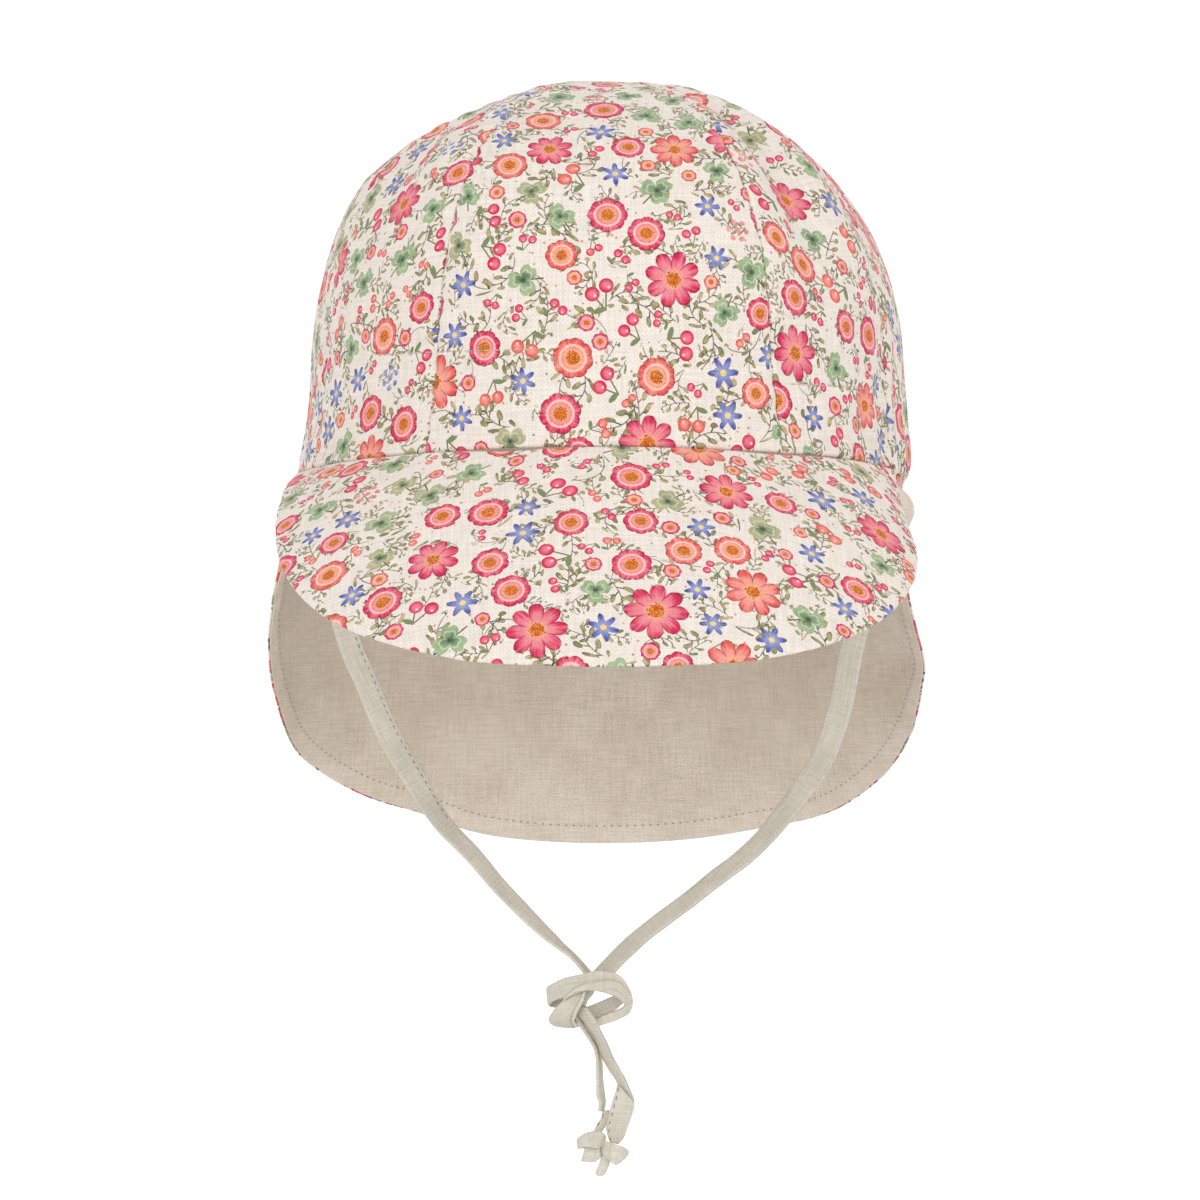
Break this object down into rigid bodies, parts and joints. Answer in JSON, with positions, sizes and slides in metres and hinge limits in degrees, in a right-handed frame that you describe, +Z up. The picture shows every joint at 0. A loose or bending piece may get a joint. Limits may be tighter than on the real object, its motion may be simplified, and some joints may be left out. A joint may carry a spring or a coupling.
{
  "type": "neck flap sun hat",
  "caption": "Toddler's soft linen sun hat: gored crown, drooping front peak, a neck flap from ear to ear, and narrow ties in a loose half-bow with knotted ends.",
  "frame": {"origin": "inside of the crown's top, where the head touches it", "axes": "+Z up out of the crown's top, -Y to the hat's front, where the peak is, +X to the right in a view from the front"},
  "size_m": [0.1676, 0.2339, 0.2769],
  "materials": {
    "print_cloth": "cream linen printed with small flowers, matte",
    "lining_cloth": "plain beige linen, matte",
    "tie_tape": "folded and stitched stone-coloured linen tape, matte"
  },
  "bodies": {
    "root": {"crown_front": "print_cloth", "crown_front_right": "print_cloth", "crown_back_right": "print_cloth", "crown_back": "print_cloth", "crown_back_left": "print_cloth", "crown_front_left": "print_cloth", "peak": "print_cloth", "neck_flap": "print_cloth", "flap_lining": "lining_cloth", "tie_left": "tie_tape", "tie_right": "tie_tape", "bow_loop": "tie_tape", "bow_wrap": "tie_tape", "tie_tail_left": "tie_tape", "tie_tail_right": "tie_tape", "tail_knot_left": "tie_tape", "tail_knot_right": "tie_tape"}
  },
  "joints": []
}
